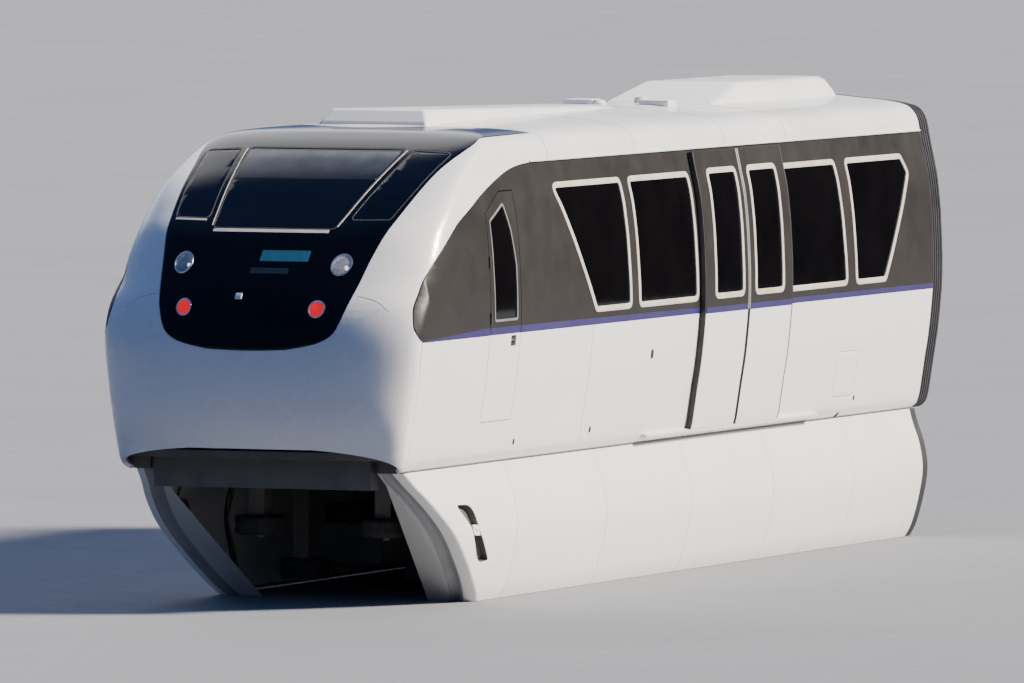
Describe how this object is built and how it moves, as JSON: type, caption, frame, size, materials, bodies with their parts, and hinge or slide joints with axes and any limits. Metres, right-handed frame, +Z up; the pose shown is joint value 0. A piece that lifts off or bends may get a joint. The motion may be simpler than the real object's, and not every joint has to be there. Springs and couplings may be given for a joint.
{
  "type": "monorail car",
  "caption": "Leading car of a straddle-beam monorail train: raked nose with black mask, black window band, sliding doors, skirts, and bogies with load and side wheels.",
  "frame": {"origin": "on the running surface under the load tyres, on the centre line, at the middle of the body's length", "axes": "+X forward to the nose, +Y to the car's left, +Z up"},
  "size_m": [11.27, 2.732, 3.805],
  "materials": {
    "body_white": "smooth white gloss paint",
    "door_white": "white gloss paint below, black gloss band above",
    "skirt_white": "white gloss paint, slightly dusty",
    "roof_white": "white satin paint",
    "band_black": "black gloss",
    "mask_black": "black gloss",
    "side_glass": "dark tinted",
    "windshield": "dark tinted",
    "lamp": "clear lens",
    "seal_rubber": "matt ribbed rubber",
    "frame_black": "matt black paint",
    "equipment_grey": "satin grey paint",
    "bulkhead_grey": "satin grey paint",
    "interior_panel": "matt light grey",
    "desk_dark": "matt dark grey",
    "seat_fabric": "blue woven cloth",
    "rail_steel": "brushed",
    "bogie_steel": "satin dark grey paint",
    "axle_steel": "machined steel",
    "tyre_rubber": "matt black rubber"
  },
  "bodies": {
    "car_body": {"underframe": "frame_black", "side_panel_left": "body_white", "window_band_left": "band_black", "glazing_front_left": "side_glass", "glazing_rear_left": "side_glass", "skirt_left": "skirt_white", "lamp_cluster_left": "lamp", "side_panel_right": "body_white", "window_band_right": "band_black", "glazing_front_right": "side_glass", "glazing_rear_right": "side_glass", "skirt_right": "skirt_white", "lamp_cluster_right": "lamp", "roof": "roof_white", "roof_fairing_front": "roof_white", "roof_fairing_rear": "roof_white", "nose_shell": "body_white", "front_mask": "mask_black", "windshield_centre": "windshield", "windshield_left": "windshield", "windshield_right": "windshield", "rear_bulkhead": "bulkhead_grey", "bulkhead_glass": "side_glass", "gangway_seal": "seal_rubber", "underfloor_equipment": "equipment_grey", "cab_partition": "interior_panel", "control_desk": "desk_dark", "seats_front": "seat_fabric", "seats_rear": "seat_fabric", "grab_rails": "rail_steel"},
    "door_front_left": {"door_leaf_front_left": "door_white", "door_glass_front_left": "side_glass"},
    "door_rear_left": {"door_leaf_rear_left": "door_white", "door_glass_rear_left": "side_glass"},
    "crew_door_body_left": {"crew_door_left": "door_white", "crew_glass_left": "side_glass"},
    "door_front_right": {"door_leaf_front_right": "door_white", "door_glass_front_right": "side_glass"},
    "door_rear_right": {"door_leaf_rear_right": "door_white", "door_glass_rear_right": "side_glass"},
    "crew_door_body_right": {"crew_door_right": "door_white", "crew_glass_right": "side_glass"},
    "bogie_front": {"bogie_frame_front": "bogie_steel"},
    "load_wheel_front": {"load_axle_front": "axle_steel", "load_tyre_front": "tyre_rubber"},
    "guide_wheel_fore_body_front_left": {"guide_wheel_fore_front_left": "tyre_rubber"},
    "guide_wheel_aft_body_front_left": {"guide_wheel_aft_front_left": "tyre_rubber"},
    "stabiliser_wheel_body_front_left": {"stabiliser_wheel_front_left": "tyre_rubber"},
    "guide_wheel_fore_body_front_right": {"guide_wheel_fore_front_right": "tyre_rubber"},
    "guide_wheel_aft_body_front_right": {"guide_wheel_aft_front_right": "tyre_rubber"},
    "stabiliser_wheel_body_front_right": {"stabiliser_wheel_front_right": "tyre_rubber"},
    "bogie_rear": {"bogie_frame_rear": "bogie_steel"},
    "load_wheel_rear": {"load_axle_rear": "axle_steel", "load_tyre_rear": "tyre_rubber"},
    "guide_wheel_fore_body_rear_left": {"guide_wheel_fore_rear_left": "tyre_rubber"},
    "guide_wheel_aft_body_rear_left": {"guide_wheel_aft_rear_left": "tyre_rubber"},
    "stabiliser_wheel_body_rear_left": {"stabiliser_wheel_rear_left": "tyre_rubber"},
    "guide_wheel_fore_body_rear_right": {"guide_wheel_fore_rear_right": "tyre_rubber"},
    "guide_wheel_aft_body_rear_right": {"guide_wheel_aft_rear_right": "tyre_rubber"},
    "stabiliser_wheel_body_rear_right": {"stabiliser_wheel_rear_right": "tyre_rubber"}
  },
  "joints": [
    {"name": "door_slide_front_left", "type": "slide", "parent": "car_body", "child": "door_front_left", "axis": [1, 0, 0], "range_m": [0, 0.86]},
    {"name": "door_slide_rear_left", "type": "slide", "parent": "car_body", "child": "door_rear_left", "axis": [-1, 0, 0], "range_m": [0, 0.86]},
    {"name": "crew_door_hinge_left", "type": "hinge", "parent": "car_body", "child": "crew_door_body_left", "pos_m": [3.843, 1.332, 1.4], "axis": [0, 0, -1], "range_deg": [0, 85]},
    {"name": "door_slide_front_right", "type": "slide", "parent": "car_body", "child": "door_front_right", "axis": [1, 0, 0], "range_m": [0, 0.86]},
    {"name": "door_slide_rear_right", "type": "slide", "parent": "car_body", "child": "door_rear_right", "axis": [-1, 0, 0], "range_m": [0, 0.86]},
    {"name": "crew_door_hinge_right", "type": "hinge", "parent": "car_body", "child": "crew_door_body_right", "pos_m": [3.843, -1.332, 1.4], "axis": [0, 0, 1], "range_deg": [0, 85]},
    {"name": "bogie_yaw_front", "type": "hinge", "parent": "car_body", "child": "bogie_front", "pos_m": [3.165, 0, 0.2], "axis": [0, 0, 1], "range_deg": [-6, 6]},
    {"name": "load_wheel_spin_front", "type": "hinge", "parent": "bogie_front", "child": "load_wheel_front", "pos_m": [3.165, 0, 0.5], "axis": [0, 1, 0], "continuous": true},
    {"name": "guide_wheel_fore_spin_front_left", "type": "hinge", "parent": "bogie_front", "child": "guide_wheel_fore_body_front_left", "pos_m": [4.015, 0.53, -0.28], "axis": [0, 0, 1], "continuous": true},
    {"name": "guide_wheel_aft_spin_front_left", "type": "hinge", "parent": "bogie_front", "child": "guide_wheel_aft_body_front_left", "pos_m": [2.315, 0.53, -0.28], "axis": [0, 0, 1], "continuous": true},
    {"name": "stabiliser_wheel_spin_front_left", "type": "hinge", "parent": "bogie_front", "child": "stabiliser_wheel_body_front_left", "pos_m": [3.165, 0.53, -0.66], "axis": [0, 0, 1], "continuous": true},
    {"name": "guide_wheel_fore_spin_front_right", "type": "hinge", "parent": "bogie_front", "child": "guide_wheel_fore_body_front_right", "pos_m": [4.015, -0.53, -0.28], "axis": [0, 0, 1], "continuous": true},
    {"name": "guide_wheel_aft_spin_front_right", "type": "hinge", "parent": "bogie_front", "child": "guide_wheel_aft_body_front_right", "pos_m": [2.315, -0.53, -0.28], "axis": [0, 0, 1], "continuous": true},
    {"name": "stabiliser_wheel_spin_front_right", "type": "hinge", "parent": "bogie_front", "child": "stabiliser_wheel_body_front_right", "pos_m": [3.165, -0.53, -0.66], "axis": [0, 0, 1], "continuous": true},
    {"name": "bogie_yaw_rear", "type": "hinge", "parent": "car_body", "child": "bogie_rear", "pos_m": [-3.435, 0, 0.2], "axis": [0, 0, 1], "range_deg": [-6, 6]},
    {"name": "load_wheel_spin_rear", "type": "hinge", "parent": "bogie_rear", "child": "load_wheel_rear", "pos_m": [-3.435, 0, 0.5], "axis": [0, 1, 0], "continuous": true},
    {"name": "guide_wheel_fore_spin_rear_left", "type": "hinge", "parent": "bogie_rear", "child": "guide_wheel_fore_body_rear_left", "pos_m": [-2.585, 0.53, -0.28], "axis": [0, 0, 1], "continuous": true},
    {"name": "guide_wheel_aft_spin_rear_left", "type": "hinge", "parent": "bogie_rear", "child": "guide_wheel_aft_body_rear_left", "pos_m": [-4.285, 0.53, -0.28], "axis": [0, 0, 1], "continuous": true},
    {"name": "stabiliser_wheel_spin_rear_left", "type": "hinge", "parent": "bogie_rear", "child": "stabiliser_wheel_body_rear_left", "pos_m": [-3.435, 0.53, -0.66], "axis": [0, 0, 1], "continuous": true},
    {"name": "guide_wheel_fore_spin_rear_right", "type": "hinge", "parent": "bogie_rear", "child": "guide_wheel_fore_body_rear_right", "pos_m": [-2.585, -0.53, -0.28], "axis": [0, 0, 1], "continuous": true},
    {"name": "guide_wheel_aft_spin_rear_right", "type": "hinge", "parent": "bogie_rear", "child": "guide_wheel_aft_body_rear_right", "pos_m": [-4.285, -0.53, -0.28], "axis": [0, 0, 1], "continuous": true},
    {"name": "stabiliser_wheel_spin_rear_right", "type": "hinge", "parent": "bogie_rear", "child": "stabiliser_wheel_body_rear_right", "pos_m": [-3.435, -0.53, -0.66], "axis": [0, 0, 1], "continuous": true}
  ],
  "couplings": [
    {"joint": "door_slide_rear_left", "follows": "door_slide_front_left", "ratio": 1},
    {"joint": "door_slide_rear_right", "follows": "door_slide_front_right", "ratio": 1}
  ]
}
